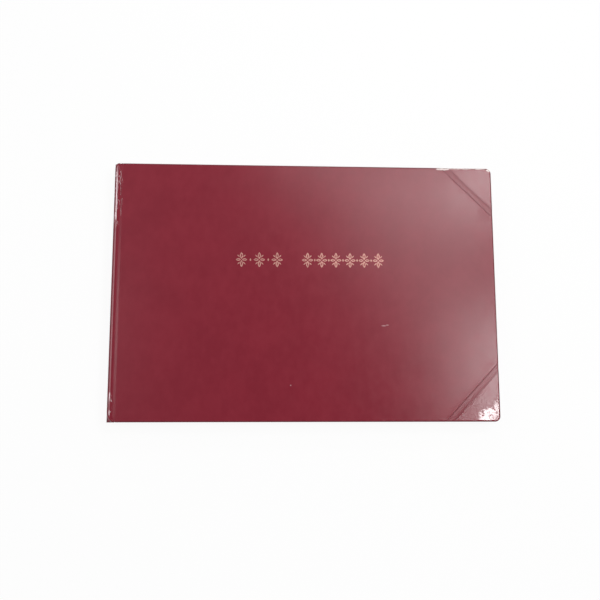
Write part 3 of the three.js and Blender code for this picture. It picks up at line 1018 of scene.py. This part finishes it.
def headband(end):
    """A rolled striped band across the ends of the folds."""
    low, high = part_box(f"headband_{end}")
    radius = (high.y - low.y) / 2
    y = (low.y + high.y) / 2
    first = low.z + HEADBAND_MARGIN
    pitch = (high.z - first - HEADBAND_MARGIN) / HEADBAND_TURNS
    depth = low.x - spine_x(MID) + radius
    bm = bmesh.new()
    ring = bmesh.ops.create_circle(
        bm, segments=HEADBAND_SIDES, radius=radius, cap_ends=False)["verts"]
    bmesh.ops.translate(bm, verts=ring, vec=(spine_x(first, depth), y, first))
    edges = bm.edges[:]
    bmesh.ops.holes_fill(bm, edges=edges, sides=0)
    for i in range(HEADBAND_TURNS):
        z = first + pitch * (i + 1)
        made = bmesh.ops.extrude_edge_only(bm, edges=edges)["geom"]
        ring = [g for g in made if isinstance(g, bmesh.types.BMVert)]
        shift = spine_x(z, depth) - spine_x(z - pitch, depth)
        bmesh.ops.translate(bm, verts=ring, vec=(shift, 0, pitch))
        centre = Vector((spine_x(z, depth), y, z))
        size = radius * (GROOVE_SHARE if i % 2 else 1.0)
        for vert in ring:
            away = vert.co - centre
            away.z = 0
            vert.co = centre + away.normalized() * size
        edges = [e for e in bm.edges if e.verts[0] in ring and e.verts[1] in ring]
    bmesh.ops.holes_fill(bm, edges=edges, sides=0)
    bmesh.ops.recalc_face_normals(bm, faces=bm.faces)
    piece = make(f"headband_{end}_roll", bm, "headband", smooth_below=60)
    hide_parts(f"headband_{end}")
    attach(piece, "text_block")


# Foil ornament

ORNAMENT_Y = 25.8 * MM
ORNAMENT_HEIGHT = 12.6 * MM
FOIL_THICKNESS = 0.02 * MM
SHORT_RUN = (-60.2 * MM, -15.8 * MM, 3)
LONG_RUN = (-3.8 * MM, 67.2 * MM, 6)
PETAL_POINTS = 28
SLIT_FROM_WIDTH = 1.5 * MM

# Petals: how far the middle lies from the flower's, then the length and the width
UPRIGHT_PETAL = (0.27 * ORNAMENT_HEIGHT, 0.46 * ORNAMENT_HEIGHT, 2.6 * MM)
SIDE_PETAL = (2.6 * MM, 4.2 * MM, 2.1 * MM)
SLANTED_PETAL = (2.3 * MM, 3.0 * MM, 2.9 * MM, 0.9 * MM)
BUD = (2.2 * MM, 1.3 * MM)


def petal(bm, centre, length, width, angle):
    """A pointed oval of foil, with a narrow slit along it where it is wide enough."""
    matrix = Matrix.Translation((*centre, FACE)) @ Matrix.Rotation(math.radians(angle), 4, "Z")
    loops = []
    for share in (1.0, 0.5) if width > SLIT_FROM_WIDTH else (1.0,):
        loop = []
        for i in range(PETAL_POINTS):
            turn = 2 * math.pi * i / PETAL_POINTS
            y = math.sin(turn)
            x = math.copysign((1 - y * y) ** 0.85, math.cos(turn)) * width / 2 * share ** 1.6
            loop.append(bm.verts.new(matrix @ Vector((x, y * length / 2 * share, 0))))
        loops.append(loop)
    if len(loops) == 1:
        bm.faces.new(loops[0])
        return
    outer, inner = loops
    for i in range(PETAL_POINTS):
        j = (i + 1) % PETAL_POINTS
        bm.faces.new((outer[i], outer[j], inner[j], inner[i]))


def flower(bm, x):
    for side in (-1, 1):
        along, length, width = UPRIGHT_PETAL
        petal(bm, (x, ORNAMENT_Y + side * along), length, width, 0)
        across, length, width = SIDE_PETAL
        petal(bm, (x + side * across, ORNAMENT_Y), length, width, 90)
        across, along, length, width = SLANTED_PETAL
        for tilt in (-1, 1):
            place = (x + side * across, ORNAMENT_Y + tilt * along)
            petal(bm, place, length, width, -45 * side * tilt)


def ornament():
    """Two runs of foil flowers with buds between them, on the front cover."""
    bm = bmesh.new()
    for left, right, count in (SHORT_RUN, LONG_RUN):
        spots = [left + (right - left) * (i + 0.5) / count for i in range(count)]
        for x in spots:
            flower(bm, x)
        for a, b in zip(spots, spots[1:]):
            petal(bm, ((a + b) / 2, ORNAMENT_Y), *BUD, 0)
    raised = bmesh.ops.extrude_face_region(bm, geom=bm.faces[:])
    top = [v for v in raised["geom"] if isinstance(v, bmesh.types.BMVert)]
    bmesh.ops.translate(bm, verts=top, vec=(0, 0, FOIL_THICKNESS))
    bmesh.ops.recalc_face_normals(bm, faces=bm.faces)
    piece = make("foil_ornament", bm, "foil")
    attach(piece, "front_cover")


# Dress the book

for side_name in ("front", "back"):
    cover(side_name)
    pastedown(side_name)
    spine_half(side_name)
    flyleaf(side_name)
    endpaper_joint(side_name)

stiffener()

trim = random.Random(11)
for section_number in range(1, SECTIONS + 1):
    section(section_number, trim)

for end_name in ("head", "tail"):
    headband(end_name)

ornament()

KEPT = {
    "front_board": "greyboard", "back_board": "greyboard", "kraft_lining": "kraft_paper",
    "mull": "gauze", "sewing_tape_1": "sewing_tape", "sewing_tape_2": "sewing_tape",
    "sewing_tape_3": "sewing_tape",
}
for node_name, finish_name in KEPT.items():
    dress(frame["nodes"][node_name].data, finish_name)


# Studio

def floor():
    """A floor that looks white and keeps the book's shadow, and lights the book as plain paint."""
    f = Finish(bpy.data.materials.new("white_floor"))
    rays = f.add("LightPath")
    seen = rays["Is Camera Ray"].most(rays["Is Glossy Ray"]).most(rays["Is Transmission Ray"])
    paint = f.add("BsdfDiffuse", None, {"Color": (0.92, 0.92, 0.92, 1)})
    glow = f.add("Emission", None, {"Color": (1, 1, 1, 1), "Strength": 1.0})
    mixed = f.add("MixShader", None, {0: seen * 0.93, 1: paint["BSDF"], 2: glow["Emission"]})
    f.tree.links.new(mixed["Shader"].socket, f.output.inputs["Surface"])
    bm = bmesh.new()
    bmesh.ops.create_grid(bm, x_segments=1, y_segments=1, size=6.0)
    mesh = bpy.data.meshes.new("floor")
    bm.to_mesh(mesh)
    bm.free()
    mesh.materials.append(f.owner)
    plane = bpy.data.objects.new("floor", mesh)
    bpy.context.scene.collection.objects.link(plane)


def world():
    """White at the horizon and dark overhead. The walls between are dim, and brighter on the
    window side and beyond the spine."""
    f = Finish(bpy.data.worlds.new("studio"), "OutputWorld")
    across, along, up = f.axes(f.add("TexCoord")["Generated"])
    steep = up.most(0.05)
    window_side = (across * 0.75 + along * 0.66).rise(-0.35, 0.75)
    spine_side = (0 - across / steep).rise(0.06, 0.26)
    wall = 0.12 + window_side * 0.2 + spine_side * 0.42
    horizon = 1 - up.rise(0.08, 0.42)
    aside = ((across / steep - 0.11).power(2) + (along / steep - 0.03).power(2)).power(0.5)
    overhead = (1 - aside.rise(0.05, 0.5)) * (1 - spine_side * 0.8)
    level = horizon + (1 - horizon) * (wall * (1 - overhead) + overhead * 0.05)
    background = f.add("Background", None, {"Color": (1, 1, 1, 1), "Strength": level})
    f.tree.links.new(background["Background"].socket, f.output.inputs["Surface"])
    bpy.context.scene.world = f.owner


# Soft lamps: place, what they point at, width, height and power
MIDDLE = (0.0, 0.0, 0.0)
LAMPS = {
    "window_softbox": ((0.501, 0.091, 1.02), MIDDLE, 0.12, 0.30, 0.30),
    "high_window_softbox": ((0.470, 0.425, 1.02), MIDDLE, 0.15, 0.15, 1.87),
    "wall_softbox": ((0.162, 0.451, 1.02), MIDDLE, 0.35, 0.12, 0.78),
    "overhead_softbox": ((0.316, 0.399, 1.02), MIDDLE, 0.30, 0.20, 0.19),
    "broad_softbox": ((0.316, 0.245, 1.02), MIDDLE, 0.36, 0.23, 0.72),
    "side_softbox": ((0.522, 0.027, 1.02), MIDDLE, 0.16, 0.20, 1.81),
    "head_softbox": ((0.06, 0.50, 0.50), (0.0, 0.05, 0.0), 0.30, 0.08, 0.65),
    "spine_side_lamp": ((-0.66, 0.11, 0.95), (-0.15, 0.0, 0.0), 0.30, 0.50, 1.3),
    "corner_lamp": ((0.446, -0.097, 1.02), MIDDLE, 0.06, 0.04, 0.46),
}


def lamp(name, place, aim, width, height, power):
    light = bpy.data.lights.new(name, "AREA")
    light.shape = "RECTANGLE"
    light.size, light.size_y, light.energy = width, height, power
    thing = bpy.data.objects.new(name, light)
    thing.location = place
    thing.rotation_euler = (Vector(aim) - Vector(place)).to_track_quat("-Z", "Y").to_euler()
    bpy.context.scene.collection.objects.link(thing)


# The camera stands where the four corners of the cover look as they do in the photograph. Its focal
# length and the image's width are in pixels, its sensor in mm.
CAMERA_PLACE = (-0.0379, -0.1071, 0.6561)
CAMERA_TURN = (8.84, -3.0, -0.11)
FOCAL_PIXELS = 782.64
IMAGE_PIXELS = 600
SENSOR_WIDTH = 36


def camera():
    data = bpy.data.cameras.new("camera")
    data.sensor_width = SENSOR_WIDTH
    data.lens = SENSOR_WIDTH * FOCAL_PIXELS / IMAGE_PIXELS
    eye = bpy.data.objects.new("camera", data)
    eye.location = CAMERA_PLACE
    eye.rotation_euler = [math.radians(a) for a in CAMERA_TURN]
    bpy.context.scene.collection.objects.link(eye)
    bpy.context.scene.camera = eye


floor()
world()
for lamp_name, settings in LAMPS.items():
    lamp(lamp_name, *settings)
camera()
bpy.context.scene.view_settings.view_transform = "Standard"
